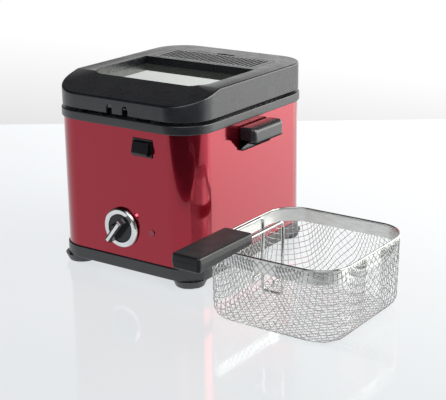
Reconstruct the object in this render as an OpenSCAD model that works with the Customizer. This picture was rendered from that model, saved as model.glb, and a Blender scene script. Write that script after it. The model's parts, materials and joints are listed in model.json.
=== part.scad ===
// Compact deep fryer with a separate wire frying basket.
// Origin: centre of the housing's footprint, on the table. The controls face -Y.

/* [Housing] */
// Width of the steel housing, left to right
body_w = 188; // [184:1:196]
// Depth of the steel housing, front to back
body_d = 224; // [220:1:232]
// Corner radius of the housing in plan
body_r = 32; // [30:1:34]
// Thickness of the housing's steel
body_t = 1; // [0.8:0.1:1.4]

/* [Heights] */
// Underside of the base moulding above the table
skirt_z = 9.2; // [8:0.1:10]
// Joint line between base and housing
base_z = 23.2; // [22:0.1:25]
// Underside of the collar
collar_z = 166.4; // [164:0.1:168]
// Top of the collar
rim_z = 176.2; // [175.8:0.1:176.8]
// Lower edge of the closed lid
lid_z = 179.4; // [179.2:0.1:180]
// Flat top of the closed lid
top_z = 209.4; // [208:0.1:212]

/* [Lid] */
// Height of the lid's front edge above the table
lid_front_z = 195.5; // [194:0.5:198]
// Where the flat top folds down to the front
fold_y = -65; // [-70:1:-60]
// Wall of the lid
lid_t = 2.4; // [2:0.1:2.6]
// Depth of the sunken window below the lid's top
window_drop = 8.6; // [8:0.1:10]

/* [Dial] */
// Outer radius of the dial's ring
dial_r = 22; // [20:0.5:24]
// Height of the dial's axis above the table
dial_z = 56; // [54:0.5:58]
// Direction of the pointer at rest, from +X towards +Z
dial_rest = 232; // [225:1:245]

/* [Basket] */
// Half width of the basket
basket_hx = 75.9; // [75:0.1:78]
// Half depth of the basket
basket_hy = 78.4; // [76:0.1:80]
// Height of the basket
basket_h = 77.2; // [74:0.1:80]
// Corner radius of the basket in plan
basket_r = 33; // [30:1:40]
// Gap between the handle's two rods, centre to centre
rod_gap = 22.3; // [21:0.1:23]
// Radius of the handle's rods
rod_r = 1.6; // [1.4:0.1:1.7]
// Height of the handle's rods above the table
rod_z = 113.3; // [111:0.1:115]
// Length of the handle's grip
grip_l = 81; // [70:1:90]

/* [Hidden] */
$fn = 64;
EPS = 0.5;
HX = body_w / 2;
HY = body_d / 2;
// Collar and lid stand proud of the housing
COLLAR_HX = HX + 3.3;
COLLAR_HY = HY + 3.3;
COLLAR_R = body_r + 6.7;
LID_HX = HX + 2.2;
LID_HY = HY + 2.2;
LID_R = body_r + 6;
SKIRT_OUT = 1.5;
SKIRT_T = 4.5;
FLOOR_T = 2.5;
// Feet
FOOT_X = HX - 19.6;
FOOT_Y = HY - 18.8;
FOOT_R = 15.6;
FOOT_TOP_R = 19.2;
PAD_R = 12.5;
PAD_H = 3;
FOOT_BOTTOM = 1;
// Oil pan, set back from the controls
PAN_Y = 4;
PAN_HX = HX - 10;
PAN_HY = HY - 24;
PAN_R = 40;
PAN_T = 1;
PAN_FLOOR = 66;
PAN_LIP = 7.5;
LIP_T = 1.2;
PAN_BASE = PAN_FLOOR - PAN_T;
STUD_X = 30;
STUD_R = 2;
// Heating element
ELEM_R = 3.4;
ELEM_Z = 59.4;
ELEM_H = 52;
ELEM_BEND = 18;
ELEM_END_X = 16;
ELEM_END_BEND = 8;
STRAP_Z = 54.2;
STRAP_T = 1.7;
NUT_T = 3.2;
// Controls
SHAFT_R = 3;
RUN = 0.05;
FRONT = -HY;
LAMP_X = 39.7;
LAMP_Z = 56.6;
LAMP_R = 3.5;
READY_X = 20.4;
READY_Z = 73.2;
READY_R = 1.5;
SCREW_SPACING = 22;
STAT_HX = 16.8;
STAT_HZ = 13;
BTN_X = 31;
BTN_Z = 148;
BTN_HX = 10.3;
BTN_HZ = 7.3;
BEZEL_GAP = 0.3;
FLANGE_Y = FRONT + 5.2;
FLANGE_T = 1.5;
STOP_Y = FRONT + 18.8;
LATCH_HX = 6;
RING_H = 3.8;
DISC_R = 15.1;
DISC_Z = 1.4;
DISC_H = 1.8;
RIB_HW = 3.6;
RIB_H = 14;
// Side handles
GRAB_HY = 28.5;
GRAB_OUT = 20.5;
GRAB_TOP = 160.5;
GRAB_BOTTOM = 144;
GRAB_PLATE_BOTTOM = 134.3;
GRAB_T = 3.5;
GRAB_SCREW_Y = 18;
GRAB_SCREW_Z = 150;
// Hinge
HINGE_Y = HY + 9;
HINGE_Z = rim_z + 2;
PIN_R = 2;
KNUCKLE_R = 5;
KNUCKLE_IN = 21;
KNUCKLE_OUT = 34;
// Lid window and filter
WIN_HX = 74.5;
WIN_FRONT = -69;
WIN_BACK = 30.5;
WIN_R = 18;
WELL_T = 2;
GLASS_TOP = top_z - window_drop;
GLASS_T = 2.5;
LINER_Z = 186.4;
LINER_T = 0.8;
WELL_FOOT = LINER_Z + 4.6;
SLOT_X = 10.5;
SLOT_HW = 3.5;
SLOT_TOP = 189;
COVER_HX = 69;
COVER_Y = 58.5;
COVER_HY = 24;
COVER_T = 2.5;
COVER_SLOTS = 23;
COVER_PITCH = 5.6;
FILTER_FLOOR = 198.5;
NOTCH_HX = 11.5;
BOSS = [[-84, -45], [84, -45], [-84, 58], [84, 58]];
// Basket, standing on the table beside the housing
BX = 210.2;
BY = -81.8;
ROD_X = 211.5;
MESH_T = 1;
BOTTOM_ROUND = 12;
BASKET_TAPER = 1.2;
BAND_T = 0.7;
BAND_H = 13;
RIM_R = 1.1;
ROD_Y = BY - 64.2;
ROD_BEND = 5;
ROD_FOOT = 40;
HOOK_R = 1.1;
HOOK_Z = 58;
HOOK_TIP = 5;
GRIP_FRONT = -283.5;
GRIP_HX = 16;
GRIP_TOP = 119.5;
GRIP_BOTTOM = 105.5;
GRIP_SCREW_Y = -262;
SPRING_R = 4;
SPRING_WIRE = 0.5;
SPRING_TURNS = 5;

// ---- shared shapes ----
// Rounded rectangle from half sizes
module rrect(hx, hy, r) {
  square([2 * (hx - r), 2 * hy], center = true);
  square([2 * hx, 2 * (hy - r)], center = true);
  for (sx = [-1, 1], sy = [-1, 1]) translate([sx * (hx - r), sy * (hy - r)]) circle(r);
}
// Rounded rectangular block between two heights, centred on y = cy
module slab(hx, hy, r, z0, z1, cy = 0) {
  translate([0, cy, z0]) linear_extrude(z1 - z0) rrect(hx, hy, r);
}
// Block between two corners
module block(a, b) {
  translate(a) cube([b[0] - a[0], b[1] - a[1], b[2] - a[2]]);
}
// Round bar along X, Y or Z from a start point
module bar_x(p, l, r) {
  translate(p) rotate([0, 90, 0]) cylinder(r = r, h = l);
}
module bar_y(p, l, r) {
  translate(p) rotate([-90, 0, 0]) cylinder(r = r, h = l);
}
module bar_z(p, l, r) {
  translate(p) cylinder(r = r, h = l);
}
// Thin wire through a list of points, each run along one axis
module wire(points, r) {
  for (i = [0 : len(points) - 2]) {
    a = points[i];
    b = points[i + 1];
    if (a[0] != b[0]) bar_x([min(a[0], b[0]), a[1], a[2]], abs(b[0] - a[0]), r);
    if (a[1] != b[1]) bar_y([a[0], min(a[1], b[1]), a[2]], abs(b[1] - a[1]), r);
    if (a[2] != b[2]) bar_z([a[0], a[1], min(a[2], b[2])], abs(b[2] - a[2]), r);
  }
  for (i = [1 : len(points) - 2]) translate(points[i]) sphere(r);
}
// Quarter bend of a round bar, in the XY plane, from angle a
module bend(centre, radius, r, a) {
  translate(centre) rotate([0, 0, a]) rotate_extrude(angle = 90) translate([radius, 0]) circle(r, $fn = 32);
}
// Closed rounded rectangular loop of round bar
module loop(hx, hy, bend_r, r, z) {
  for (s = [-1, 1]) {
    bar_x([-(hx - bend_r), s * hy, z], 2 * (hx - bend_r), r);
    bar_y([s * hx, -(hy - bend_r), z], 2 * (hy - bend_r), r);
  }
  for (q = [0 : 3]) {
    sx = (q == 0 || q == 3) ? 1 : -1;
    sy = (q < 2) ? 1 : -1;
    bend([sx * (hx - bend_r), sy * (hy - bend_r), z], bend_r, r, q * 90);
  }
}

// ---- housing ----
module outer_housing() {
  color("firebrick") difference() {
    slab(HX, HY, body_r, base_z, rim_z - 5.2);
    slab(HX - body_t, HY - body_t, body_r - body_t, base_z - EPS, rim_z);
    bar_y([0, FRONT - EPS, dial_z], 3, SHAFT_R + 1);
    for (s = [-1, 1]) bar_y([s * SCREW_SPACING / 2, FRONT - EPS, dial_z], 3, 1.6);
    bar_y([LAMP_X, FRONT - EPS, LAMP_Z], 3, LAMP_R + 0.1);
    bar_y([READY_X, FRONT - EPS, READY_Z], 3, READY_R + 0.1);
    block([BTN_X - BTN_HX - 1.2, FRONT - 1, BTN_Z - BTN_HZ - 1.2],
      [BTN_X + BTN_HX + 1.2, FRONT + 2, BTN_Z + BTN_HZ + 1.2]);
    for (y = [-GRAB_SCREW_Y, GRAB_SCREW_Y]) bar_x([-HX - 1, y, GRAB_SCREW_Z], 2 * HX + 2, 2.1);
    bar_y([50, HY - 3, 40], 4, 6.5);
  }
}

module top_collar() {
  color("black") difference() {
    union() {
      slab(COLLAR_HX, COLLAR_HY, COLLAR_R, collar_z, rim_z);
      for (s = [-1, 1]) {
        bar_x([s > 0 ? KNUCKLE_IN : -KNUCKLE_OUT, HINGE_Y, HINGE_Z], KNUCKLE_OUT - KNUCKLE_IN, KNUCKLE_R);
        block([s > 0 ? KNUCKLE_IN : -KNUCKLE_OUT, COLLAR_HY - 1, rim_z - 8],
          [s > 0 ? KNUCKLE_OUT : -KNUCKLE_IN, HINGE_Y, HINGE_Z]);
      }
    }
    slab(HX + 0.15, HY + 0.15, body_r + 0.15, collar_z - EPS, rim_z - 5);
    slab(PAN_HX + 2.5, PAN_HY + 3.5, PAN_R + 2, collar_z, rim_z + EPS, PAN_Y);
    slab(PAN_HX + PAN_LIP + 0.3, PAN_HY + PAN_LIP + 1.3, PAN_R + PAN_LIP, rim_z - LIP_T, rim_z + EPS, PAN_Y);
    block([BTN_X - LATCH_HX - 1.5, FRONT + 0.5, rim_z - 6], [BTN_X + LATCH_HX + 1.5, FRONT + 7, rim_z + EPS]);
    bar_x([-KNUCKLE_OUT - 1, HINGE_Y, HINGE_Z], 2 * KNUCKLE_OUT + 2, PIN_R + RUN);
  }
}

module base_moulding() {
  color("black") difference() {
    union() {
      slab(HX + SKIRT_OUT, HY + SKIRT_OUT, body_r + SKIRT_OUT, skirt_z, base_z);
      slab(HX - body_t - 0.2, HY - body_t - 0.2, body_r - body_t - 0.2, base_z - EPS, base_z + 3.8);
      for (sx = [-1, 1], sy = [-1, 1]) translate([sx * FOOT_X, sy * FOOT_Y, FOOT_BOTTOM])
        cylinder(r1 = FOOT_R, r2 = FOOT_TOP_R, h = skirt_z - FOOT_BOTTOM);
    }
    slab(HX + SKIRT_OUT - SKIRT_T, HY + SKIRT_OUT - SKIRT_T, body_r + SKIRT_OUT - SKIRT_T,
      skirt_z + FLOOR_T, base_z + 5);
    for (sx = [-1, 1], sy = [-1, 1]) bar_z([sx * FOOT_X, sy * FOOT_Y, 0], PAD_H, PAD_R + RUN);
    for (s = [-1, 1]) bar_z([s * STUD_X, PAN_Y, skirt_z - 1], 6, STUD_R + 0.3);
    for (y = [-60 : 20 : 80]) block([-12, y, skirt_z - 1], [12, y + 4, skirt_z + FLOOR_T + 1]);
  }
}

module foot_pads() {
  color("dimgray") for (sx = [-1, 1], sy = [-1, 1]) bar_z([sx * FOOT_X, sy * FOOT_Y, 0], PAD_H, PAD_R);
}

module oil_pan() {
  color("silver") difference() {
    union() {
      slab(PAN_HX + PAN_T, PAN_HY + PAN_T, PAN_R + PAN_T, PAN_BASE, rim_z, PAN_Y);
      slab(PAN_HX + PAN_LIP, PAN_HY + PAN_LIP + 1, PAN_R + PAN_LIP, rim_z - LIP_T, rim_z, PAN_Y);
    }
    slab(PAN_HX, PAN_HY, PAN_R, PAN_FLOOR, rim_z + 1, PAN_Y);
  }
}

module heat_spreader() {
  color("gainsboro") difference() {
    slab(62, 62, 12, PAN_BASE - 2, PAN_BASE, PAN_Y);
    for (s = [-1, 1]) bar_z([s * STUD_X, PAN_Y, PAN_BASE - 3], 4, STUD_R + 0.3);
  }
}

module heating_element() {
  color("darkslategray") translate([0, PAN_Y, ELEM_Z]) {
    bar_x([-(ELEM_H - ELEM_BEND), -ELEM_H, 0], 2 * (ELEM_H - ELEM_BEND), ELEM_R);
    for (s = [-1, 1]) {
      bar_y([s * ELEM_H, -(ELEM_H - ELEM_BEND), 0], 2 * (ELEM_H - ELEM_BEND), ELEM_R);
      bend([s * (ELEM_H - ELEM_BEND), ELEM_H - ELEM_BEND, 0], ELEM_BEND, ELEM_R, s > 0 ? 0 : 90);
      bend([s * (ELEM_H - ELEM_BEND), -(ELEM_H - ELEM_BEND), 0], ELEM_BEND, ELEM_R, s > 0 ? 270 : 180);
      bar_x([s > 0 ? ELEM_END_X : -(ELEM_H - ELEM_BEND), ELEM_H, 0], ELEM_H - ELEM_BEND - ELEM_END_X, ELEM_R);
      bend([s * ELEM_END_X, ELEM_H + ELEM_END_BEND, 0], ELEM_END_BEND, ELEM_R, s > 0 ? 180 : 270);
      bar_y([s * (ELEM_END_X - ELEM_END_BEND), ELEM_H + ELEM_END_BEND, 0], 10, ELEM_R);
      bar_y([s * (ELEM_END_X - ELEM_END_BEND), ELEM_H + ELEM_END_BEND + 10, 0], 8, 1.5);
    }
  }
}

module element_strap() {
  color("lightgray") difference() {
    block([-58, PAN_Y - 6, STRAP_Z], [58, PAN_Y + 6, STRAP_Z + STRAP_T]);
    for (s = [-1, 1]) bar_z([s * STUD_X, PAN_Y, STRAP_Z - 1], 4, STUD_R + 0.1);
  }
}

module pan_studs() {
  foot = skirt_z - NUT_T - 1;
  color("gray") for (s = [-1, 1]) bar_z([s * STUD_X, PAN_Y, foot], PAN_BASE - foot, STUD_R);
}

module stud_nuts() {
  color("gray") for (s = [-1, 1], z = [STRAP_Z - NUT_T, skirt_z - NUT_T]) translate([s * STUD_X, PAN_Y, z])
    difference() {
      cylinder(r = 4, h = NUT_T, $fn = 6);
      translate([0, 0, -1]) cylinder(r = STUD_R + RUN, h = NUT_T + 2);
    }
}

module sensor_bulb() {
  color("orange") bar_x([-35, -30, ELEM_Z + 0.4], 70, 3);
}

module capillary_tube() {
  color("orange") wire([[-35, -30, ELEM_Z], [-42, -30, ELEM_Z], [-42, -30, 48], [-42, -80, 48],
    [-14, -80, 48], [-14, FRONT + 26, 48]], 1);
}

module thermostat() {
  color("ivory") difference() {
    block([-STAT_HX, FRONT + body_t, dial_z - STAT_HZ], [STAT_HX, FRONT + 26, dial_z + STAT_HZ]);
    bar_y([0, FRONT, dial_z], 20, SHAFT_R + RUN);
    for (s = [-1, 1]) bar_y([s * SCREW_SPACING / 2, FRONT, dial_z], 9, 1.55);
  }
}

module thermostat_screws() {
  color("silver") for (s = [-1, 1]) {
    bar_y([s * SCREW_SPACING / 2, FRONT - 2, dial_z], 2, 3);
    bar_y([s * SCREW_SPACING / 2, FRONT, dial_z], 8, 1.5);
  }
}

module thermal_cutout() {
  color("ivory") bar_z([-45, 78, PAN_BASE - 8], 8, 9);
}

module terminal_block() {
  color("white") difference() {
    block([35, 60, skirt_z + FLOOR_T], [65, 80, skirt_z + FLOOR_T + 13]);
    for (x = [40, 50, 60]) bar_z([x, 70, skirt_z + FLOOR_T + 9], 5, 2);
  }
}

module cord_gland() {
  color("black") difference() {
    union() {
      bar_y([50, HY, 40], 3, 9);
      bar_y([50, HY - 8, 40], 8.5, 6.3);
    }
    bar_y([50, HY - 9, 40], 14, 3.6);
  }
}

module internal_leads() {
  low = skirt_z + FLOOR_T + 6;
  color("red") {
    wire([[40, 60, low], [40, -78, low], [12, -78, low], [12, -78, 46], [12, FRONT + 26, 46]], 1.2);
    wire([[50, 60, low], [50, 56, low], [50, 56, low - 3], [50, -74, low - 3], [4, -74, low - 3],
      [4, -74, 52], [4, FRONT + 26, 52]], 1.2);
    wire([[45, 76, skirt_z + FLOOR_T + 13], [45, 76, 34], [45, 88, 34], [8, 88, 34], [8, 88, ELEM_Z],
      [8, 82, ELEM_Z]], 1.2);
    wire([[-8, 82, ELEM_Z], [-8, 90, ELEM_Z], [-45, 90, ELEM_Z], [-45, 90, 50], [-45, 78, 50],
      [-45, 78, PAN_BASE - 8]], 1.2);
  }
}

module lamp_lens(x, z, r, proud) {
  bar_y([x, FRONT - proud, z], proud + 4, r);
}
module power_lamp_lens() {
  color("red") lamp_lens(LAMP_X, LAMP_Z, LAMP_R, 1);
}
module ready_lamp_lens() {
  color("pink") lamp_lens(READY_X, READY_Z, READY_R, 0.8);
}
module lamp_holder(x, z, r, l) {
  difference() {
    bar_y([x, FRONT + body_t + 0.1, z], l, r + 1.5);
    bar_y([x, FRONT, z], 4.2, r + 0.1);
  }
}
module lamp_holders() {
  color("white") {
    lamp_holder(LAMP_X, LAMP_Z, LAMP_R, 15);
    lamp_holder(READY_X, READY_Z, READY_R, 11);
  }
}

module button_bezel() {
  in_x = BTN_HX + BEZEL_GAP;
  in_z = BTN_HZ + BEZEL_GAP;
  color("black") difference() {
    union() {
      block([BTN_X - in_x - 2, FRONT - 1.2, BTN_Z - in_z - 2], [BTN_X + in_x + 2, FRONT, BTN_Z + in_z + 2]);
      block([BTN_X - in_x - 0.8, FRONT - 1, BTN_Z - in_z - 0.8],
        [BTN_X + in_x + 0.8, FRONT + 5, BTN_Z + in_z + 0.8]);
    }
    block([BTN_X - in_x, FRONT - 2, BTN_Z - in_z], [BTN_X + in_x, FRONT + 6, BTN_Z + in_z]);
  }
}

module latch_bracket() {
  color("lightgray") block([BTN_X - 11, STOP_Y, BTN_Z - 10], [BTN_X + 11, STOP_Y + 1.5, rim_z - 5]);
}

// Points of one hexagonal ring of the spring's wire, at turn t, along Y
function spring_ring(t, l) = [for (k = [0 : 5])
  [(SPRING_R + SPRING_WIRE * cos(60 * k)) * cos(360 * t),
   SPRING_WIRE + (l - 2 * SPRING_WIRE) * t / SPRING_TURNS + SPRING_WIRE * sin(60 * k),
   (SPRING_R + SPRING_WIRE * cos(60 * k)) * sin(360 * t)]];
module latch_spring() {
  l = STOP_Y - FLANGE_Y - FLANGE_T;
  steps = SPRING_TURNS * 14;
  rings = [for (i = [0 : steps]) spring_ring(SPRING_TURNS * i / steps, l)];
  points = [for (ring = rings) for (p = ring) p];
  sides = [for (i = [0 : steps - 1]) for (k = [0 : 5])
    [6 * i + k, 6 * i + (k + 1) % 6, 6 * i + 6 + (k + 1) % 6, 6 * i + 6 + k]];
  ends = [[5, 4, 3, 2, 1, 0], [for (k = [0 : 5]) 6 * steps + k]];
  color("silver") translate([BTN_X, FLANGE_Y + FLANGE_T, BTN_Z]) polyhedron(points, concat(sides, ends), 4);
}

// Hood-shaped carrying handle on the side s
module side_handle(s) {
  mirror([s > 0 ? 0 : 1, 0, 0]) translate([HX, 0, 0]) difference() {
    union() {
      intersection() {
        translate([0, 0, GRAB_BOTTOM]) linear_extrude(GRAB_TOP - GRAB_BOTTOM) {
          translate([0, -GRAB_HY]) square([GRAB_OUT - 6, 2 * GRAB_HY]);
          translate([0, -GRAB_HY + 6]) square([GRAB_OUT, 2 * GRAB_HY - 12]);
          for (y = [-1, 1]) translate([GRAB_OUT - 6, y * (GRAB_HY - 6)]) circle(6);
        }
        translate([0, GRAB_HY, 0]) rotate([90, 0, 0]) linear_extrude(2 * GRAB_HY) {
          translate([0, GRAB_BOTTOM]) square([GRAB_OUT, GRAB_TOP - GRAB_BOTTOM - 5]);
          translate([0, GRAB_BOTTOM]) square([GRAB_OUT - 5, GRAB_TOP - GRAB_BOTTOM]);
          translate([GRAB_OUT - 5, GRAB_TOP - 5]) circle(5);
        }
      }
      block([0, -GRAB_HY, GRAB_PLATE_BOTTOM], [GRAB_T, GRAB_HY, GRAB_BOTTOM + 1]);
    }
    block([GRAB_T, -GRAB_HY + GRAB_T, GRAB_BOTTOM - 1],
      [GRAB_OUT - GRAB_T, GRAB_HY - GRAB_T, GRAB_TOP - GRAB_T]);
    for (y = [-GRAB_SCREW_Y, GRAB_SCREW_Y]) bar_x([-1, y, GRAB_SCREW_Z], 4.2, STUD_R + RUN);
  }
}
module side_handle_left() {
  color("black") side_handle(-1);
}
module side_handle_right() {
  color("black") side_handle(1);
}
module handle_screws() {
  color("silver") for (s = [0, 1], y = [-GRAB_SCREW_Y, GRAB_SCREW_Y]) mirror([s, 0, 0]) {
    bar_x([HX - body_t - 2.2, y, GRAB_SCREW_Z], 2.2, 4);
    bar_x([HX - body_t, y, GRAB_SCREW_Z], 4, STUD_R);
  }
}
module hinge_pin() {
  color("silver") {
    bar_x([-KNUCKLE_OUT - 1, HINGE_Y, HINGE_Z], 2 * KNUCKLE_OUT + 2, PIN_R);
    for (x = [-KNUCKLE_OUT - 2.4, KNUCKLE_OUT + 0.4]) bar_x([x, HINGE_Y, HINGE_Z], 2, PIN_R + 1.2);
  }
}

// ---- lid ----
// Side outline of the lid in Y and Z, drawn in by t
module lid_profile(t) {
  drop = (top_z - lid_front_z) / (fold_y + LID_HY);
  polygon([[-LID_HY + t, lid_z - 5], [LID_HY - t, lid_z - 5], [LID_HY - t, top_z - t], [fold_y, top_z - t],
    [-LID_HY + t, lid_front_z + drop * t - t]]);
}
// Lid's outer form, drawn in by t, above height z0
module lid_form(t, z0) {
  intersection() {
    slab(LID_HX - t, LID_HY - t, LID_R - t, z0, top_z - t);
    translate([-LID_HX, 0, 0]) rotate([90, 0, 90]) linear_extrude(2 * LID_HX) lid_profile(t);
  }
}
// Window outline in plan, larger by g
module window_outline(g) {
  mid = (WIN_FRONT + WIN_BACK) / 2;
  half = (WIN_BACK - WIN_FRONT) / 2;
  translate([0, mid]) {
    rrect(WIN_HX + g, half + g, WIN_R + g);
    translate([-WIN_HX - g, 0]) square([2 * (WIN_HX + g), half + g]);
  }
}
module lid_shell() {
  color("black") difference() {
    union() {
      difference() {
        lid_form(0, lid_z);
        lid_form(lid_t, lid_z - 1);
      }
      intersection() {
        lid_form(0, WELL_FOOT);
        union() {
          translate([0, 0, WELL_FOOT]) linear_extrude(40) window_outline(WELL_T);
          slab(COVER_HX + 3, COVER_HY + 4.5, 6, FILTER_FLOOR, top_z, COVER_Y);
          for (b = BOSS) bar_z([b[0], b[1], LINER_Z + LINER_T], 40, 3.5);
        }
      }
      for (b = BOSS) bar_z([b[0], b[1], LINER_Z + LINER_T], WELL_FOOT - LINER_Z, 3.5);
      bar_x([-KNUCKLE_IN + 0.5, HINGE_Y, HINGE_Z], 2 * KNUCKLE_IN - 1, KNUCKLE_R);
      block([-KNUCKLE_IN + 0.5, LID_HY - 1, lid_z], [KNUCKLE_IN - 0.5, HINGE_Y, lid_z + 8]);
    }
    translate([0, 0, WELL_FOOT - 1]) linear_extrude(40) window_outline(0);
    slab(COVER_HX + 0.3, COVER_HY + 0.3, 4.3, FILTER_FLOOR + 2, top_z + 1, COVER_Y);
    for (x = [-54 : 12 : 54], y = [-15, 0, 15]) bar_z([x, COVER_Y + y, FILTER_FLOOR - 1], 4, 4);
    block([-NOTCH_HX, COVER_Y + COVER_HY - 1, top_z - 4], [NOTCH_HX, COVER_Y + COVER_HY + 3, top_z + 1]);
    for (b = BOSS) bar_z([b[0], b[1], LINER_Z], 10, 1.3);
    for (s = [-1, 1]) {
      block([s * SLOT_X - SLOT_HW, -LID_HY - 1, lid_z - 1],
        [s * SLOT_X + SLOT_HW, -LID_HY + 4, SLOT_TOP - SLOT_HW]);
      bar_y([s * SLOT_X, -LID_HY - 1, SLOT_TOP - SLOT_HW], 5, SLOT_HW);
    }
    bar_x([-KNUCKLE_IN, HINGE_Y, HINGE_Z], 2 * KNUCKLE_IN, PIN_R + RUN);
  }
}
module lid_liner() {
  hx = PAN_HX + 6.5;
  hy = PAN_HY + 6.5;
  color("silver") difference() {
    slab(hx, hy, PAN_R + 6.5, rim_z + 1.8, LINER_Z + LINER_T, PAN_Y);
    slab(hx - 1, hy - 1, PAN_R + 5.5, rim_z, LINER_Z, PAN_Y);
    translate([0, 0, LINER_Z - 1]) linear_extrude(3) window_outline(-2.5);
    for (x = [-54 : 12 : 54], y = [-12, 3]) bar_z([x, COVER_Y + y, LINER_Z - 1], 3, 4);
    for (b = BOSS) bar_z([b[0], b[1], LINER_Z - 1], 3, 1.5);
    for (s = [-1, 1]) block([s * SLOT_X - 4, PAN_Y - hy - 1, rim_z + 3.4],
      [s * SLOT_X + 4, PAN_Y - hy + 3, LINER_Z]);
  }
}
module lid_gasket() {
  color("dimgray") difference() {
    slab(PAN_HX + 6, PAN_HY + 6, PAN_R + 6, rim_z + 0.3, rim_z + 1.8, PAN_Y);
    slab(PAN_HX + 2.5, PAN_HY + 2.5, PAN_R + 2.5, rim_z, rim_z + 3, PAN_Y);
  }
}
module liner_screws() {
  color("silver") for (b = BOSS) {
    bar_z([b[0], b[1], LINER_Z - 1.5], 1.5, 3);
    bar_z([b[0], b[1], LINER_Z], 9, 1.25);
  }
}
module window_glass() {
  color("lightblue", 0.4) translate([0, 0, GLASS_TOP - GLASS_T])
    linear_extrude(GLASS_T) window_outline(-0.3);
}
// Seal and seat of the glass: a flange under the well's walls, with a raised frame inside them
module window_gasket() {
  low = LINER_Z + LINER_T;
  color("dimgray") difference() {
    union() {
      translate([0, 0, low]) linear_extrude(WELL_FOOT - low) window_outline(WELL_T);
      translate([0, 0, low]) linear_extrude(GLASS_TOP - GLASS_T - low) window_outline(-0.3);
    }
    translate([0, 0, low - 1]) linear_extrude(20) window_outline(-3.4);
  }
}
module lid_catch() {
  y = FRONT + 3;
  color("gray") difference() {
    union() {
      block([BTN_X - LATCH_HX, y, 160], [BTN_X + LATCH_HX, y + 1.8, 190]);
      block([BTN_X - LATCH_HX, -LID_HY + lid_t, 184], [BTN_X + LATCH_HX, y + 1.8, 190]);
    }
    block([BTN_X - 4.5, y - 1, 161.5], [BTN_X + 4.5, y + 3, 166.5]);
  }
}
module filter_pad() {
  color("darkgray") slab(COVER_HX - 2, COVER_HY - 2, 3, FILTER_FLOOR + 2, top_z - COVER_T - 0.4, COVER_Y);
}
module filter_cover() {
  first = -(COVER_SLOTS - 1) / 2;
  color("black") difference() {
    slab(COVER_HX, COVER_HY, 4, top_z - COVER_T, top_z, COVER_Y);
    for (i = [0 : COVER_SLOTS - 1]) translate([(first + i) * COVER_PITCH, COVER_Y, top_z - COVER_T - 1])
      linear_extrude(5) rrect(1.5, 18.5, 1.4);
    block([-NOTCH_HX, COVER_Y + COVER_HY - 1.5, top_z - 3], [NOTCH_HX, COVER_Y + COVER_HY + 1, top_z + 1]);
  }
}

// ---- dial ----
// Everything below is drawn with the dial's axis on Z, front face up, pointer along +X
module on_dial() {
  translate([0, FRONT - 1, dial_z]) rotate([90, 0, 0]) rotate([0, 0, dial_rest]) children();
}
module dial_ring() {
  color("gainsboro") on_dial() difference() {
    union() {
      cylinder(r = dial_r, h = 1.6);
      translate([0, 0, 1.6]) cylinder(r1 = dial_r, r2 = dial_r - 1.2, h = RING_H - 1.6);
    }
    translate([0, 0, -1]) cylinder(r = DISC_R + RUN, h = RING_H + 2);
  }
}
module dial_knob() {
  color("black") on_dial() difference() {
    union() {
      translate([0, 0, DISC_Z]) cylinder(r = DISC_R, h = DISC_H);
      cylinder(r = 6, h = DISC_Z + 1);
      block([-DISC_R + 1, -RIB_HW, DISC_Z + DISC_H - 1], [DISC_R - 1, RIB_HW, RING_H + 1]);
      block([-DISC_R + 1, -RIB_HW, RING_H + 0.1], [dial_r - 5, RIB_HW, RIB_H - 0.6]);
    }
    translate([0, 0, -1]) cylinder(r = SHAFT_R + RUN, h = 8);
  }
}
module dial_inlay() {
  color("silver") on_dial() {
    translate([-10.2, -1.6, RIB_H - 0.6]) cube([dial_r + 4.6, 3.2, 0.6]);
    translate([-12.6, -2.6, RIB_H - 0.6]) cube([1.2, 5.2, 0.6]);
  }
}
module thermostat_shaft() {
  color("silver") bar_y([0, FRONT - 6, dial_z], 24, SHAFT_R);
}

// ---- lid release ----
module release_button() {
  color("black") union() {
    translate([BTN_X - BTN_HX, 0, 0]) rotate([90, 0, 90]) linear_extrude(2 * BTN_HX)
      polygon([[FLANGE_Y, BTN_Z - BTN_HZ], [FLANGE_Y, BTN_Z + BTN_HZ], [FRONT - 4.5, BTN_Z + BTN_HZ],
        [FRONT - 7.5, BTN_Z - BTN_HZ + 3], [FRONT - 6.5, BTN_Z - BTN_HZ]]);
    block([BTN_X - BTN_HX - 1.8, FLANGE_Y, BTN_Z - BTN_HZ - 1.8],
      [BTN_X + BTN_HX + 1.8, FLANGE_Y + FLANGE_T, BTN_Z + BTN_HZ + 1.8]);
  }
}
module latch_slider() {
  y = FLANGE_Y + FLANGE_T;
  color("gray") union() {
    block([BTN_X - 5, y, BTN_Z + 5], [BTN_X + 5, y + 2, 166]);
    block([BTN_X - 4, FRONT + 5.1, 162], [BTN_X + 4, y + 1, 165]);
  }
}

// ---- basket ----
// Basket's outer form with its rounded foot, drawn in by t, up to a height
module basket_form(t, top) {
  hull() {
    for (a = [0 : 18 : 90]) {
      inset = BOTTOM_ROUND * (1 - cos(a));
      translate([0, 0, BOTTOM_ROUND * (1 - sin(a)) + t]) linear_extrude(0.01)
        rrect(basket_hx - BASKET_TAPER - inset - t, basket_hy - BASKET_TAPER - inset - t,
          basket_r - 8 - inset / 2 - t, $fn = 32);
    }
    translate([0, 0, top - 0.01]) linear_extrude(0.01)
      rrect(basket_hx - t, basket_hy - t, basket_r - t, $fn = 32);
  }
}
module basket_mesh() {
  top = basket_h - 2 * RIM_R;
  color("lightgray") translate([BX, BY, 0]) difference() {
    basket_form(0, top);
    basket_form(MESH_T, top + 0.02);
    for (s = [-1, 1])
      bar_y([ROD_X - BX + s * rod_gap / 2, -basket_hy - 3, HOOK_Z], 8, HOOK_R + 0.4);
  }
}
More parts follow.
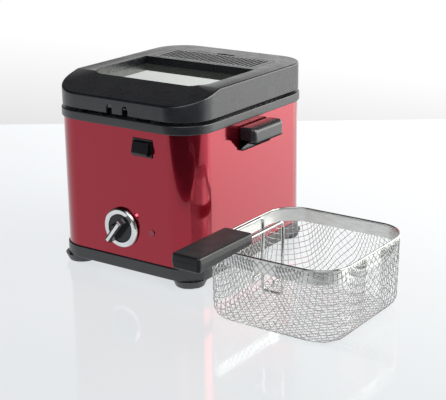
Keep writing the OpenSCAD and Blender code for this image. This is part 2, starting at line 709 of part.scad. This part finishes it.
module basket_band() {
  top = basket_h - 2 * RIM_R;
  hx = basket_hx - MESH_T - 0.35;
  hy = basket_hy - MESH_T - 0.35;
  color("silver") translate([BX, BY, 0]) difference() {
    slab(hx, hy, basket_r - 1.3, top - BAND_H, top);
    slab(hx - BAND_T, hy - BAND_T, basket_r - 2, top - BAND_H - 1, top + 1);
  }
}
module basket_rim() {
  color("silver") translate([BX, BY, 0])
    loop(basket_hx - 0.9, basket_hy - 0.9, basket_r - 0.9, RIM_R, basket_h - RIM_R);
}
module handle_rods() {
  half = rod_gap / 2;
  foot_bend = 4;
  color("silver") translate([ROD_X, ROD_Y, 0]) {
    for (s = [-1, 1]) {
      bar_z([s * half, 0, ROD_FOOT + foot_bend], rod_z - ROD_BEND - ROD_FOOT - foot_bend, rod_r);
      translate([s * half, -ROD_BEND, rod_z - ROD_BEND]) rotate([0, -90, 0])
        rotate_extrude(angle = 90) translate([ROD_BEND, 0]) circle(rod_r, $fn = 32);
      bar_y([s * half, -ROD_BEND - 90, rod_z], 90, rod_r);
      translate([s * (half - foot_bend), 0, ROD_FOOT + foot_bend]) rotate([90, 0, 0])
        rotate([0, 0, s > 0 ? 270 : 180]) rotate_extrude(angle = 90)
          translate([foot_bend, 0]) circle(rod_r, $fn = 32);
    }
    bar_x([-half + foot_bend, 0, ROD_FOOT], 2 * (half - foot_bend), rod_r);
  }
}
module handle_hooks() {
  reach = BY - basket_hy - 2;
  color("silver") for (s = [-1, 1]) {
    x = ROD_X + s * rod_gap / 2;
    bar_y([x, reach, HOOK_Z], ROD_Y - rod_r - reach, HOOK_R);
    translate([x, reach, HOOK_Z]) sphere(HOOK_R, $fn = 32);
    bar_z([x, reach, HOOK_Z - HOOK_TIP], HOOK_TIP, HOOK_R);
  }
}
// Grip half between two heights, with the channels for the rods
module grip_half(z0, z1) {
  back = GRIP_FRONT + grip_l;
  difference() {
    translate([ROD_X, (GRIP_FRONT + back) / 2, z0]) linear_extrude(z1 - z0)
      rrect(GRIP_HX, (back - GRIP_FRONT) / 2, 6);
    for (s = [-1, 1]) bar_y([ROD_X + s * rod_gap / 2, ROD_Y - ROD_BEND - 90.5, rod_z], 60, rod_r + RUN);
    bar_z([ROD_X, GRIP_SCREW_Y, GRIP_BOTTOM + 2], 9, 1.55);
    bar_z([ROD_X, GRIP_SCREW_Y, GRIP_BOTTOM - 1], 3, 3.2);
  }
}
module grip_upper() {
  color("black") grip_half(rod_z, GRIP_TOP);
}
module grip_lower() {
  color("black") grip_half(GRIP_BOTTOM, rod_z);
}
module grip_screw() {
  color("silver") {
    bar_z([ROD_X, GRIP_SCREW_Y, GRIP_BOTTOM + 0.3], 1.7, 3);
    bar_z([ROD_X, GRIP_SCREW_Y, GRIP_BOTTOM + 2], 8, 1.5);
  }
}

outer_housing();
top_collar();
base_moulding();
foot_pads();
oil_pan();
heat_spreader();
heating_element();
element_strap();
pan_studs();
stud_nuts();
sensor_bulb();
capillary_tube();
thermostat();
thermostat_screws();
thermal_cutout();
terminal_block();
cord_gland();
internal_leads();
power_lamp_lens();
ready_lamp_lens();
lamp_holders();
button_bezel();
latch_bracket();
latch_spring();
side_handle_left();
side_handle_right();
handle_screws();
hinge_pin();
lid_shell();
lid_liner();
lid_gasket();
liner_screws();
window_glass();
window_gasket();
lid_catch();
filter_pad();
filter_cover();
dial_knob();
dial_ring();
dial_inlay();
thermostat_shaft();
release_button();
latch_slider();
basket_mesh();
basket_band();
basket_rim();
handle_rods();
handle_hooks();
grip_upper();
grip_lower();
grip_screw();
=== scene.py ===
"""Looks of a compact deep fryer and its wire basket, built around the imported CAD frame."""
import json
import math

import bmesh
import bpy
import numpy as np
from mathutils import Matrix, Vector


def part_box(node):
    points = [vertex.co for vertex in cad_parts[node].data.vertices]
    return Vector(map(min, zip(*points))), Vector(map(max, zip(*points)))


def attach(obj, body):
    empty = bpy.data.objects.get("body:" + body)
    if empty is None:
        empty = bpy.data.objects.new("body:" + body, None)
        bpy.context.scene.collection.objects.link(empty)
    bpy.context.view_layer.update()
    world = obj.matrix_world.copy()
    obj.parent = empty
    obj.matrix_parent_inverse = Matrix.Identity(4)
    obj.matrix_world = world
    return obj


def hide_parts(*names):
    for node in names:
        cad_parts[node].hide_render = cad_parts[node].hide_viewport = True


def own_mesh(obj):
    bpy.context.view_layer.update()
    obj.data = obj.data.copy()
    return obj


MM = 0.001

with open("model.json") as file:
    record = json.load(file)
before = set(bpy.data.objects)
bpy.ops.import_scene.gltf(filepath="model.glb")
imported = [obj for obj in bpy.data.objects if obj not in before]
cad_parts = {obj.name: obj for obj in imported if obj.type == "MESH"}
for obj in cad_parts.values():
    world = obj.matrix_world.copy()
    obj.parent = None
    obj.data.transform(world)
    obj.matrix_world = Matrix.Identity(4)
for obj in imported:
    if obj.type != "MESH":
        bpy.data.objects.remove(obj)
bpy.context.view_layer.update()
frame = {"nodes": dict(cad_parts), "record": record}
nodes = frame["nodes"]
scene = bpy.context.scene


# ---------------------------------------------------------------- camera, lights, floor

CAMERA_YAW = math.radians(35.07)
CAMERA_PITCH = math.radians(17.75)
CAMERA_ROLL = math.radians(-0.67)
CAMERA_PLACE = (0.7945, -1.0569, 0.4786)
CAMERA_LENS_MM = 98.51
CAMERA_SENSOR_MM = 36
VIEW_DIRECTION = Vector((-math.sin(CAMERA_YAW), math.cos(CAMERA_YAW), 0))
VIEW_RIGHT = Vector((math.cos(CAMERA_YAW), math.sin(CAMERA_YAW), 0))
WORLD_GLOW = 1.8
WORLD_TOP = 0.03
WORLD_FRONT = 1.7


def make_camera():
    forward = VIEW_DIRECTION * math.cos(CAMERA_PITCH) - Vector((0, 0, math.sin(CAMERA_PITCH)))
    up = VIEW_RIGHT.cross(forward)
    c, s = math.cos(CAMERA_ROLL), math.sin(CAMERA_ROLL)
    right_rolled = c * VIEW_RIGHT + s * up
    up_rolled = c * up - s * VIEW_RIGHT
    data = bpy.data.cameras.new("camera")
    data.sensor_width = CAMERA_SENSOR_MM
    data.lens = CAMERA_LENS_MM
    data.clip_start = 0.05
    camera = bpy.data.objects.new("camera", data)
    axes = Matrix((right_rolled, up_rolled, -forward)).transposed()
    camera.matrix_world = Matrix.Translation(CAMERA_PLACE) @ axes.to_4x4()
    scene.collection.objects.link(camera)
    scene.camera = camera


def area_light(name, place, target, size, power, colour=(1, 1, 1)):
    data = bpy.data.lights.new(name, "AREA")
    data.shape = "RECTANGLE"
    data.size, data.size_y = size
    data.energy = power
    data.color = colour
    light = bpy.data.objects.new(name, data)
    light.location = place
    light.rotation_euler = (Vector(target) - Vector(place)).to_track_quat("-Z", "Y").to_euler()
    scene.collection.objects.link(light)


def flat_card(name, near, far, half_width, height, material):
    """A horizontal sheet, placed along the direction that the camera looks in."""
    corners = [VIEW_DIRECTION * d + VIEW_RIGHT * w for d, w in
               ((near, -half_width), (near, half_width), (far, half_width), (far, -half_width))]
    mesh = bpy.data.meshes.new(name)
    mesh.from_pydata([(p.x, p.y, height) for p in corners], [], [(0, 1, 2, 3)])
    card = bpy.data.objects.new(name, mesh)
    card.data.materials.append(material)
    scene.collection.objects.link(card)
    return card


def make_world():
    """A dim studio with its bright side low down behind the object, to the right."""
    world = bpy.data.worlds.new("studio")
    world.use_nodes = True
    tree = world.node_tree
    back = tree.nodes["Background"]
    coords = tree.nodes.new("ShaderNodeTexCoord").outputs["Generated"]

    def along(direction):
        """How far the view ray points in this direction, from -1 to 1."""
        node = tree.nodes.new("ShaderNodeVectorMath")
        node.operation = "DOT_PRODUCT"
        node.inputs[1].default_value = direction.normalized()
        tree.links.new(coords, node.inputs[0])
        return node.outputs["Value"]

    def span(source, low, high, to_low, to_high):
        """The source, ramped from its range low to high onto to_low to to_high."""
        node = tree.nodes.new("ShaderNodeMapRange")
        for key, value in (("From Min", low), ("From Max", high), ("To Min", to_low), ("To Max", to_high)):
            node.inputs[key].default_value = value
        tree.links.new(source, node.inputs["Value"])
        return node.outputs["Result"]

    def combined(operation, first, second):
        node = tree.nodes.new("ShaderNodeMath")
        node.operation = operation
        tree.links.new(first, node.inputs[0])
        tree.links.new(second, node.inputs[1])
        return node.outputs[0]

    height = along(Vector((0, 0, 1)))
    bright_side = VIEW_DIRECTION * 0.62 + VIEW_RIGHT * 0.76 + Vector((0, 0, 0.15))
    glow = span(along(bright_side), 0.25, 0.90, 0.15, WORLD_GLOW)
    behind = combined("MULTIPLY", glow, span(height, 0.22, 0.58, 1.0, WORLD_TOP))
    front_side = Vector((0, 0, 0.84)) - VIEW_DIRECTION * 0.55 + VIEW_RIGHT * 0.1
    studio = combined("ADD", behind, span(along(front_side), 0.82, 0.96, 0.0, WORLD_FRONT))
    # Behind the table's far edge a pale backdrop, greyer low down and to the left
    upward = span(height, -0.245, -0.165, 0.81, 1.05)
    rightward = span(along(VIEW_RIGHT), -0.18, 0.18, 0.96, 1.10)
    backdrop = combined("MULTIPLY", upward, rightward)
    # The mix's colour sockets are 6 and 7, and its factor is 0
    mix = tree.nodes.new("ShaderNodeMix")
    mix.data_type = "RGBA"
    tree.links.new(span(height, -0.08, 0.0, 0.0, 1.0), mix.inputs[0])
    tree.links.new(backdrop, mix.inputs[6])
    tree.links.new(studio, mix.inputs[7])
    tree.links.new(mix.outputs[2], back.inputs["Color"])
    scene.world = world


make_camera()
make_world()
scene.view_settings.view_transform = "Standard"


# ---------------------------------------------------------------- materials

def shader_of(material):
    return next(n for n in material.node_tree.nodes if n.type == "BSDF_PRINCIPLED")


def new_material(name, colour, roughness, metallic=0.0, **sockets):
    material = bpy.data.materials.new(name)
    material.use_nodes = True
    shader = shader_of(material)
    shader.inputs["Base Color"].default_value = (*colour, 1)
    shader.inputs["Roughness"].default_value = roughness
    shader.inputs["Metallic"].default_value = metallic
    for socket, value in sockets.items():
        shader.inputs[socket.replace("_", " ")].default_value = value
    return material


def noise(material, size, detail=2.0, stretch=(1, 1, 1)):
    """Noise whose grains measure about size metres. Returns the node."""
    tree = material.node_tree
    coords = tree.nodes.new("ShaderNodeTexCoord")
    mapping = tree.nodes.new("ShaderNodeMapping")
    mapping.inputs["Scale"].default_value = stretch
    texture = tree.nodes.new("ShaderNodeTexNoise")
    texture.inputs["Scale"].default_value = 1 / size
    texture.inputs["Detail"].default_value = detail
    tree.links.new(coords.outputs["Object"], mapping.inputs["Vector"])
    tree.links.new(mapping.outputs["Vector"], texture.inputs["Vector"])
    return texture


def vary_colour(material, texture, dark, light, low=0.35, high=0.65):
    """Base colour from dark to light, as the noise goes from low to high."""
    ramp = material.node_tree.nodes.new("ShaderNodeValToRGB")
    ramp.color_ramp.elements[0].position = low
    ramp.color_ramp.elements[0].color = (*dark, 1)
    ramp.color_ramp.elements[1].position = high
    ramp.color_ramp.elements[1].color = (*light, 1)
    material.node_tree.links.new(texture.outputs["Fac"], ramp.inputs["Fac"])
    material.node_tree.links.new(ramp.outputs["Color"], shader_of(material).inputs["Base Color"])


def vary_roughness(material, texture, smooth, rough):
    """Roughness from smooth to rough, over the middle of the noise."""
    span = material.node_tree.nodes.new("ShaderNodeMapRange")
    span.inputs["From Min"].default_value = 0.3
    span.inputs["From Max"].default_value = 0.7
    span.inputs["To Min"].default_value = smooth
    span.inputs["To Max"].default_value = rough
    material.node_tree.links.new(texture.outputs["Fac"], span.inputs["Value"])
    material.node_tree.links.new(span.outputs["Result"], shader_of(material).inputs["Roughness"])


def bump(material, texture, height):
    """Relief of about height metres."""
    node = material.node_tree.nodes.new("ShaderNodeBump")
    node.inputs["Distance"].default_value = height
    node.inputs["Strength"].default_value = 1.0
    material.node_tree.links.new(texture.outputs["Fac"], node.inputs["Height"])
    material.node_tree.links.new(node.outputs["Normal"], shader_of(material).inputs["Normal"])


def moulded_plastic(name, dark, light, smooth, rough, grain=0.0007, relief=0.000012, ior=1.5):
    """Satin plastic with a fine moulded grain and faint flow marks."""
    material = new_material(name, light, rough, IOR=ior)
    vary_colour(material, noise(material, 0.03, 3), dark, light)
    vary_roughness(material, noise(material, 0.012, 4), smooth, rough)
    bump(material, noise(material, grain, 2), relief)
    return material


def lacquer():
    """Metallic red lacquer: fine flakes under a clear, mirror-like coat."""
    material = new_material("red_lacquer", (0.30, 0.008, 0.02), 0.16, 0.9,
                            Coat_Weight=1.0, Coat_Roughness=0.02, Coat_IOR=1.41)
    vary_colour(material, noise(material, 0.0005, 1), (0.325, 0.006, 0.024), (0.395, 0.011, 0.032))
    vary_roughness(material, noise(material, 0.02, 3), 0.13, 0.19)
    bump(material, noise(material, 0.004, 2), 0.0000025)
    return material


def bright_metal(name, colour, smooth, rough, stretch=(1, 1, 1), grain=0.0006, relief=0.000004):
    """Drawn, plated or rolled metal: fine streaks in its polish."""
    material = new_material(name, colour, rough, 1.0)
    darker = tuple(0.82 * c for c in colour)
    vary_colour(material, noise(material, 0.01, 3, stretch), darker, colour)
    streaks = noise(material, grain, 3, stretch)
    vary_roughness(material, streaks, smooth, rough)
    bump(material, streaks, relief)
    return material


def glass():
    """Lightly tinted, strongly reflecting pane."""
    material = new_material("window_glass", (0.30, 0.34, 0.31), 0.03,
                            Transmission_Weight=0.7, IOR=1.9,
                            Coat_Weight=1.0, Coat_IOR=2.0, Coat_Roughness=0.02,
                            Coat_Tint=(0.95, 1.0, 0.95, 1))
    vary_roughness(material, noise(material, 0.02, 2), 0.02, 0.05)
    return material


def foam(name):
    """Dark open-cell filter foam."""
    material = new_material(name, (0.10, 0.10, 0.105), 0.95)
    cells = noise(material, 0.0011, 2)
    vary_colour(material, cells, (0.02, 0.02, 0.02), (0.16, 0.16, 0.165), 0.4, 0.6)
    bump(material, cells, 0.0004)
    return material


def lens(name, colour, glow):
    """Rippled coloured lamp lens that glows by glow."""
    material = new_material(name, colour, 0.12, Transmission_Weight=0.3, Coat_Weight=0.6)
    shader_of(material).inputs["Emission Color"].default_value = (*colour, 1)
    shader_of(material).inputs["Emission Strength"].default_value = glow
    ripples = noise(material, 0.0012, 1)
    vary_roughness(material, ripples, 0.08, 0.2)
    bump(material, ripples, 0.00005)
    return material


MATERIALS = {
    "red_lacquer": lacquer(),
    "black_plastic": moulded_plastic("black_plastic", (0.009, 0.0095, 0.013), (0.014, 0.0145, 0.019),
                                     0.24, 0.32, ior=1.7),
    "gloss_black": moulded_plastic("gloss_black", (0.006, 0.006, 0.008), (0.011, 0.011, 0.013), 0.12, 0.2,
                                   relief=0.000006),
    "grip_plastic": moulded_plastic("grip_plastic", (0.011, 0.011, 0.014), (0.018, 0.018, 0.021), 0.3, 0.42),
    "foot_rubber": moulded_plastic("foot_rubber", (0.012, 0.012, 0.012), (0.024, 0.024, 0.024), 0.65, 0.85),
    "pan_coating": moulded_plastic("pan_coating", (0.06, 0.06, 0.064), (0.11, 0.11, 0.115), 0.3, 0.45,
                                   grain=0.0009, relief=0.00002),
    "aluminium_plate": bright_metal("aluminium_plate", (0.78, 0.78, 0.79), 0.3, 0.45, (1, 12, 1)),
    "element_tube": bright_metal("element_tube", (0.12, 0.10, 0.09), 0.5, 0.7, grain=0.002, relief=0.00002),
    "zinc_steel": bright_metal("zinc_steel", (0.66, 0.67, 0.64), 0.25, 0.42),
    "spring_steel": bright_metal("spring_steel", (0.55, 0.56, 0.58), 0.2, 0.32),
    "stainless": bright_metal("stainless", (0.92, 0.925, 0.91), 0.26, 0.38, (1, 1, 18)),
    "basket_wire": bright_metal("basket_wire", (0.62, 0.63, 0.62), 0.12, 0.2, grain=0.0012),
    "copper": bright_metal("copper", (0.78, 0.42, 0.28), 0.25, 0.4),
    "phenolic": moulded_plastic("phenolic", (0.34, 0.27, 0.16), (0.44, 0.36, 0.22), 0.45, 0.6),
    "white_plastic": moulded_plastic("white_plastic", (0.70, 0.69, 0.64), (0.80, 0.79, 0.74), 0.35, 0.5),
    "lead_sheath": moulded_plastic("lead_sheath", (0.45, 0.03, 0.03), (0.60, 0.06, 0.05), 0.4, 0.55),
    "lamp_red": lens("lamp_red", (0.42, 0.02, 0.05), 0.0),
    "lamp_pink": lens("lamp_pink", (0.95, 0.22, 0.32), 0.6),
    "window_glass": glass(),
    "filter_foam": foam("filter_foam"),
    "dial_chrome": bright_metal("dial_chrome", (0.85, 0.86, 0.87), 0.04, 0.09, relief=0.000001),
    "dial_silver": bright_metal("dial_silver", (0.86, 0.86, 0.87), 0.16, 0.26),
}
SLOT_OF = {row["node"]: row["material_slot"] for row in frame["record"]["subparts"]}


# ---------------------------------------------------------------- mesh helpers

SMOOTH_ANGLE = math.radians(32)


def finish_mesh(obj):
    """Smooth shading with sharp creases, and flat faces kept flat."""
    obj.data.shade_smooth()
    obj.data.set_sharp_from_angle(angle=SMOOTH_ANGLE)
    weighted = obj.modifiers.new("flat faces", "WEIGHTED_NORMAL")
    weighted.keep_sharp = True
    weighted.weight = 90
    return obj


def place(obj, slot_name, body, *replaced):
    """Gives a piece its material, its body and the CAD nodes that it stands for."""
    obj.data.materials.append(MATERIALS[slot_name])
    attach(obj, body)
    if replaced:
        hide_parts(*replaced)
    return obj


def object_from(name, bm):
    """A linked object made from a bmesh, which is freed."""
    mesh = bpy.data.meshes.new(name)
    bmesh.ops.recalc_face_normals(bm, faces=bm.faces)
    bm.to_mesh(mesh)
    bm.free()
    obj = bpy.data.objects.new(name, mesh)
    scene.collection.objects.link(obj)
    return obj


def copy_of(node):
    """The node's CAD mesh as a bmesh with its flat faces merged."""
    source = nodes[node].data
    bm = bmesh.new()
    corners = [bm.verts.new(v.co) for v in source.vertices]
    for face in source.polygons:
        bm.faces.new([corners[i] for i in face.vertices])
    bmesh.ops.remove_doubles(bm, verts=bm.verts, dist=2e-6)
    bmesh.ops.dissolve_degenerate(bm, edges=bm.edges, dist=1e-6)
    bmesh.ops.dissolve_limit(bm, angle_limit=math.radians(0.7), verts=bm.verts, edges=bm.edges)
    return bm


def round_edges(bm, radius, segments, chosen=lambda middle: True, turn=40):
    """Rounds the convex edges sharper than turn degrees whose middle is chosen."""
    limit = math.radians(turn)
    edges = [e for e in bm.edges if len(e.link_faces) == 2 and e.is_convex
             and e.calc_face_angle(0) > limit and chosen((e.verts[0].co + e.verts[1].co) / 2)]
    bmesh.ops.bevel(bm, geom=edges, offset=radius, offset_type="OFFSET", segments=segments, profile=0.5,
                    affect="EDGES", clamp_overlap=False, loop_slide=True)


def outline_distance(p, half_x, half_y, corner):
    """Distance of p from a rounded rectangle in plan, negative inside it."""
    dx = abs(p.x) - (half_x - corner)
    dy = abs(p.y) - (half_y - corner)
    outside = math.hypot(max(dx, 0), max(dy, 0))
    return outside + min(max(dx, dy), 0) - corner


def softened(node, name, rounds, body, reshape=None):
    """A piece that replaces a CAD node: the same shape with its moulded edges rounded."""
    bm = copy_of(node)
    for step in rounds:
        round_edges(bm, *step)
    if reshape:
        for vert in bm.verts:
            vert.co = reshape(vert.co)
    obj = finish_mesh(object_from(name, bm))
    return place(obj, SLOT_OF[node], body, node)


# ---------------------------------------------------------------- housing, collar, base, lid

lid_low, lid_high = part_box("lid_shell")
collar_low, collar_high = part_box("top_collar")
base_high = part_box("base_moulding")[1]
LID_CORNER = 38 * MM
COLLAR_CORNER = 38.7 * MM
SKIRT_CORNER = 33.5 * MM
LID_EDGE_FOOT = 192 * MM
LIP = 0.4 * MM


def on_lid_edge(p):
    return (abs(outline_distance(p, lid_high.x, -lid_low.y, LID_CORNER)) < LIP
            and p.z > LID_EDGE_FOOT)


def on_collar_edge(p):
    return abs(outline_distance(p, collar_high.x, -collar_low.y, COLLAR_CORNER)) < LIP


def on_skirt_edge(p):
    return abs(outline_distance(p, base_high.x, base_high.y, SKIRT_CORNER)) < LIP


softened("lid_shell", "lid_moulding", [(1.9 * MM, 4, on_lid_edge), (0.5 * MM, 3)], "lid")
softened("top_collar", "collar_moulding", [(1.2 * MM, 3, on_collar_edge), (0.35 * MM, 3)], "fryer")
softened("base_moulding", "base_and_feet", [(1.6 * MM, 3, on_skirt_edge), (0.5 * MM, 3)], "fryer")
softened("filter_cover", "filter_grille", [(0.3 * MM, 3)], "filter_lid")
softened("side_handle_left", "left_carry_handle", [(3.0 * MM, 6)], "fryer")
softened("side_handle_right", "right_carry_handle", [(3.0 * MM, 6)], "fryer")
softened("dial_ring", "dial_chrome_ring", [(1.3 * MM, 5)], "dial")
softened("dial_knob", "dial_pointer_knob", [(0.8 * MM, 4)], "dial")
softened("release_button", "lid_button", [(0.9 * MM, 4)], "release")
softened("button_bezel", "lid_button_bezel", [(0.35 * MM, 3)], "fryer")


# ---------------------------------------------------------------- grip of the basket

grip_low, grip_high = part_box("grip_upper")
grip_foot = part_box("grip_lower")[0].z
grip_split = grip_low.z
GRIP_LEAN = 0.12
GRIP_TAPER = 0.035
GRIP_CORE_SHARE = 0.7
GRIP_RISE = 3.2 * MM
GRIP_RISE_LENGTH = 42 * MM
GRIP_CAD_CORNER = 6 * MM
GRIP_CORNER = 2.8 * MM
GRIP_EDGE_REACH = 2.5 * MM
GRIP_SPLIT_CLEAR = 1.5 * MM


def crisp_corner(p):
    """Moves a point of one of the grip's upright corners from the CAD's corner arc to a tighter one."""
    for x_side, x_end in ((-1, grip_low.x), (1, grip_high.x)):
        for y_side, y_end in ((-1, grip_low.y), (1, grip_high.y)):
            arm = Vector((p.x - x_end + x_side * GRIP_CAD_CORNER, p.y - y_end + y_side * GRIP_CAD_CORNER))
            inset = GRIP_CAD_CORNER - arm.length
            in_corner = arm.x * x_side > -1e-6 and arm.y * y_side > -1e-6
            if in_corner and -2e-5 < inset < GRIP_EDGE_REACH:
                centre = Vector((x_end - x_side * GRIP_CORNER, y_end - y_side * GRIP_CORNER))
                p.x, p.y = centre + arm.normalized() * (GRIP_CORNER - inset)
    return p


def grip_form(p):
    """Crisp corners, sides that lean in from the split, and a belly that rises to the rods."""
    middle = (grip_low.x + grip_high.x) / 2
    p = crisp_corner(Vector(p))
    share = (grip_high.y - p.y) / (grip_high.y - grip_low.y)
    lean = GRIP_LEAN * abs(p.z - grip_split)
    side = min(max((p.x - middle) / (GRIP_CORE_SHARE * (grip_high.x - middle)), -1), 1)
    x = middle + (p.x - middle) * (1 - GRIP_TAPER * share) - side * lean
    belly = max(grip_split - p.z, 0) / (grip_split - grip_foot)
    near_rods = max(1 - (grip_high.y - p.y) / GRIP_RISE_LENGTH, 0)
    return Vector((x, p.y, p.z + GRIP_RISE * belly * near_rods))


def off_grip_split(p):
    return abs(p.z - grip_split) > GRIP_SPLIT_CLEAR


SPLIT_EDGE = (0.15 * MM, 1)
softened("grip_upper", "grip_top_shell", [(2.0 * MM, 5, off_grip_split), SPLIT_EDGE], "basket", grip_form)
softened("grip_lower", "grip_bottom_shell", [(1.8 * MM, 5, off_grip_split), SPLIT_EDGE], "basket", grip_form)


# ---------------------------------------------------------------- spring of the release button

spring = finish_mesh(object_from("button_return_spring", copy_of("latch_spring")))
place(spring, SLOT_OF["latch_spring"], "fryer", "latch_spring")
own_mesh(spring)


# ---------------------------------------------------------------- woven basket

mesh_low, mesh_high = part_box("basket_mesh")
WIRE_R = 0.36 * MM
WEAVE_PITCH = 6.0 * MM
WEAVE_DEPTH = 0.34 * MM
WIRE_SIDES = 6
BASKET_CORNER = 33 * MM
BOTTOM_ROUND = 12 * MM
BASKET_TAPER = 1.2 * MM
MESH_INSET = WIRE_R + WEAVE_DEPTH + 0.1 * MM
FAN_REACH = 50 * MM


def tube(points, normals, radius, sides=WIRE_SIDES):
    """Vertices and faces of a closed round wire along the points."""
    points = np.array(points)
    along = np.gradient(points, axis=0)
    along /= np.linalg.norm(along, axis=1)[:, None]
    side = np.cross(along, normals)
    side /= np.linalg.norm(side, axis=1)[:, None]
    up = np.cross(side, along)
    turn = 2 * np.pi * np.arange(sides) / sides
    rings = (points[:, None, :] + radius * (np.cos(turn)[None, :, None] * side[:, None, :]
                                            + np.sin(turn)[None, :, None] * up[:, None, :]))
    count = len(points)
    faces = []
    for i in range(count - 1):
        for k in range(sides):
            here, after = i * sides, (i + 1) * sides
            following = (k + 1) % sides
            faces.append((here + k, here + following, after + following, after + k))
    faces.append(tuple(range(sides - 1, -1, -1)))
    faces.append(tuple((count - 1) * sides + k for k in range(sides)))
    return rings.reshape(-1, 3), faces


class BasketForm:
    """Lays a flat sheet of mesh over the basket: floor, rounded foot, walls, fanned corners."""

    def __init__(self):
        self.centre = (mesh_low + mesh_high) / 2
        inset = MESH_INSET + BASKET_TAPER + BOTTOM_ROUND
        self.half_x = (mesh_high.x - mesh_low.x) / 2 - inset
        self.half_y = (mesh_high.y - mesh_low.y) / 2 - inset
        self.corner = BASKET_CORNER - inset
        self.floor = mesh_low.z + MESH_INSET
        self.top = mesh_high.z
        self.tilt = BASKET_TAPER / (mesh_high.z - mesh_low.z - BOTTOM_ROUND)

    def edge_from_fan(self, a, b):
        """Distance along the unit vector a, b from the fan's centre to the floor's edge, and its normal."""
        flat = FAN_REACH - self.corner
        if b * FAN_REACH <= a * flat:
            return FAN_REACH / a, (1.0, 0.0)
        if a * FAN_REACH <= b * flat:
            return FAN_REACH / b, (0.0, 1.0)
        toward = flat * (a + b)
        reach = toward + math.sqrt(toward ** 2 - 2 * flat ** 2 + self.corner ** 2)
        return reach, ((reach * a - flat) / self.corner, (reach * b - flat) / self.corner)

    def lay(self, x, y):
        """Point on the basket and outward normal for the point x, y of the flat sheet."""
        near_x = min(max(x, FAN_REACH - self.half_x), self.half_x - FAN_REACH)
        near_y = min(max(y, FAN_REACH - self.half_y), self.half_y - FAN_REACH)
        reach = math.hypot(x - near_x, y - near_y)
        if reach < 1e-9:
            return (x, y, self.floor), (0, 0, -1)
        a, b = (x - near_x) / reach, (y - near_y) / reach
        edge, normal = self.edge_from_fan(abs(a), abs(b))
        if reach <= edge:
            return (x, y, self.floor), (0, 0, -1)
        out_x, out_y = math.copysign(normal[0], a), math.copysign(normal[1], b)
        run = reach - edge
        angle = min(run / BOTTOM_ROUND, math.pi / 2)
        wall = max(run - BOTTOM_ROUND * math.pi / 2, 0)
        out = BOTTOM_ROUND * math.sin(angle) + wall * self.tilt
        rise = BOTTOM_ROUND * (1 - math.cos(angle)) + wall
        point = (near_x + a * edge + out_x * out, near_y + b * edge + out_y * out, self.floor + rise)
        return point, (out_x * math.sin(angle), out_y * math.sin(angle), -math.cos(angle))

    def sheet_reach(self):
        return max(self.half_x, self.half_y) + BOTTOM_ROUND * math.pi / 2 + self.top


def woven_wires(form):
    """Runs of (points, normals), one for each wire of the square weave set at 45 degrees."""
    runs = []
    reach = form.sheet_reach()
    count = int(reach * math.sqrt(2) / WEAVE_PITCH)
    for family in (1, -1):
        for line in range(-count, count + 1):
            points, normals = [], []
            for step in range(-2 * count, 2 * count + 1):
                along, across = step * WEAVE_PITCH / 2, (line + 0.5) * WEAVE_PITCH
                x = (along - family * across) / math.sqrt(2)
                y = (family * along + across) / math.sqrt(2)
                point, normal = form.lay(x, y)
                inside = point[2] < form.top and max(abs(x), abs(y)) < reach
                if inside:
                    lift = family * WEAVE_DEPTH * math.sin(math.pi * step / 2) * (-1) ** line
                    points.append([form.centre[i] * (i < 2) + point[i] + lift * normal[i] for i in range(3)])
                    normals.append(normal)
                elif len(points) > 1:
                    runs.append((points, normals))
                    points, normals = [], []
                else:
                    points, normals = [], []
    return runs


def make_basket():
    """All the woven wires as one mesh, which takes the place of the CAD's thin shell."""
    vertices, faces = [], []
    for points, normals in woven_wires(BasketForm()):
        verts, quads = tube(points, np.array(normals), WIRE_R)
        start = len(vertices)
        vertices.extend(verts.tolist())
        faces.extend(tuple(start + k for k in quad) for quad in quads)
    mesh = bpy.data.meshes.new("woven_basket")
    mesh.from_pydata(vertices, [], faces)
    mesh.shade_smooth()
    obj = bpy.data.objects.new("woven_basket", mesh)
    scene.collection.objects.link(obj)
    place(obj, "basket_wire", "basket", "basket_mesh")


make_basket()


# ---------------------------------------------------------------- carried-over pieces and stage

for node_name, node_object in nodes.items():
    node_object.data.materials.clear()
    node_object.data.materials.append(MATERIALS[SLOT_OF[node_name]])

TABLE_HALF_WIDTH = 3.0
TABLE_FAR_EDGE = 0.585
CARD_NEAR = -1.6
CARD_FAR = -0.43
CARD_HALF_WIDTH = 1.5
CARD_HEIGHT = 0.0005
LIGHT_AIM = (0.05, 0, 0.12)

floor_material = new_material("pale_floor", (0.14, 0.143, 0.147), 0.16, Specular_IOR_Level=0.5,
                              Emission_Color=(0.80, 0.825, 0.84, 1), Emission_Strength=0.84)
vary_roughness(floor_material, noise(floor_material, 0.5, 2), 0.05, 0.08)
flat_card("floor", -TABLE_HALF_WIDTH, TABLE_FAR_EDGE, TABLE_HALF_WIDTH, 0.0, floor_material)
# Seen only in reflections: it darkens the near side of the table in the lacquer and the plastic
dark_material = new_material("dark_card", (0.02, 0.02, 0.02), 0.9)
dark_card = flat_card("dark_card", CARD_NEAR, CARD_FAR, CARD_HALF_WIDTH, CARD_HEIGHT, dark_material)
dark_card.visible_camera = False
dark_card.visible_diffuse = False
dark_card.visible_shadow = False

area_light("side_softbox", (1.3, 0.5, 0.75), LIGHT_AIM, (0.9, 0.9), 14, (1.0, 1.0, 0.93))
area_light("back_right_softbox", (0.95, 1.2, 0.4), LIGHT_AIM, (1.0, 0.7), 5.5, (1.0, 1.0, 0.9))
area_light("front_fill", (0.3, -1.7, 1.3), (0, 0, 0.15), (1.2, 0.9), 4, (0.93, 0.96, 1.0))
